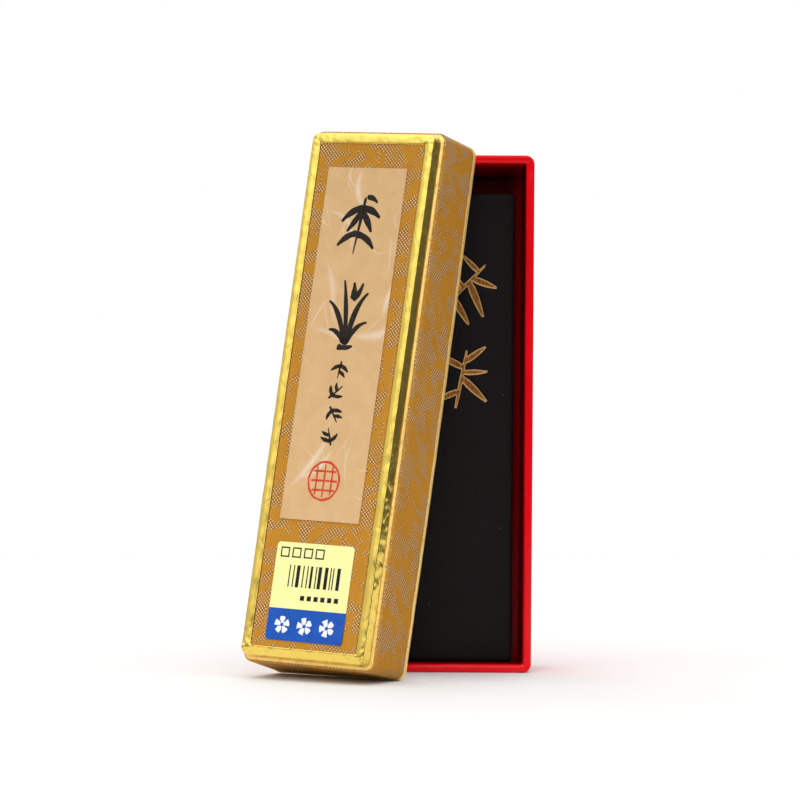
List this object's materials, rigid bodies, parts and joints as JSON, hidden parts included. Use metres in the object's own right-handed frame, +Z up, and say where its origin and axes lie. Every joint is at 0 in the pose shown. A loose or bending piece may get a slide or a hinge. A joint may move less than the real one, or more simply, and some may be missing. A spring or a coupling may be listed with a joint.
{
  "type": "ink stick in presentation box",
  "caption": "Black moulded ink stick with gilt engraving, standing in an open red paper tray, with its gold edged brocade lid leaning across the front.",
  "frame": {"origin": "centre of the tray's foot, on the ground", "axes": "+Z up along the tray's length, -Y out of the tray's open side towards the viewer, +X to the viewer's right"},
  "size_m": [0.0596, 0.0495, 0.1118],
  "materials": {
    "grey_board": "matte",
    "red_paper": "gloss",
    "ink": "matte",
    "gilt": "satin",
    "brocade": "satin",
    "gold_foil": "polished",
    "white_paper": "matte",
    "title_paper": "matte",
    "sticker_paper": "satin"
  },
  "bodies": {
    "tray": {"tray_base_board": "grey_board", "tray_left_wall_board": "grey_board", "tray_right_wall_board": "grey_board", "tray_head_wall_board": "grey_board", "tray_foot_wall_board": "grey_board", "tray_red_wrap": "red_paper", "tray_floor_lining": "red_paper"},
    "stick": {"ink_stick": "ink", "upper_gilt_mark": "gilt", "lower_gilt_mark": "gilt"},
    "lid": {"lid_top_board": "grey_board", "lid_left_wall_board": "grey_board", "lid_right_wall_board": "grey_board", "lid_head_wall_board": "grey_board", "lid_foot_wall_board": "grey_board", "lid_lining": "white_paper", "lid_brocade_wrap": "brocade", "lid_rim_foil": "gold_foil", "gold_backing_sheet": "gold_foil", "raised_panel_board": "grey_board", "raised_panel_brocade": "brocade", "gold_moulding_left": "gold_foil", "gold_moulding_right": "gold_foil", "gold_moulding_head": "gold_foil", "gold_moulding_foot": "gold_foil", "title_label": "title_paper", "price_sticker": "sticker_paper"}
  },
  "joints": [
    {"name": "lid_lift", "type": "slide", "parent": "tray", "child": "lid", "axis": [-0.4928, -0.8468, 0.2002], "range_m": [0, 0.08]},
    {"name": "stick_slide", "type": "slide", "parent": "tray", "child": "stick", "axis": [0, -1, 0], "range_m": [0, 0.02]}
  ],
  "couplings": [
    {"joint": "stick_slide", "follows": "lid_lift", "ratio": 0.25}
  ]
}
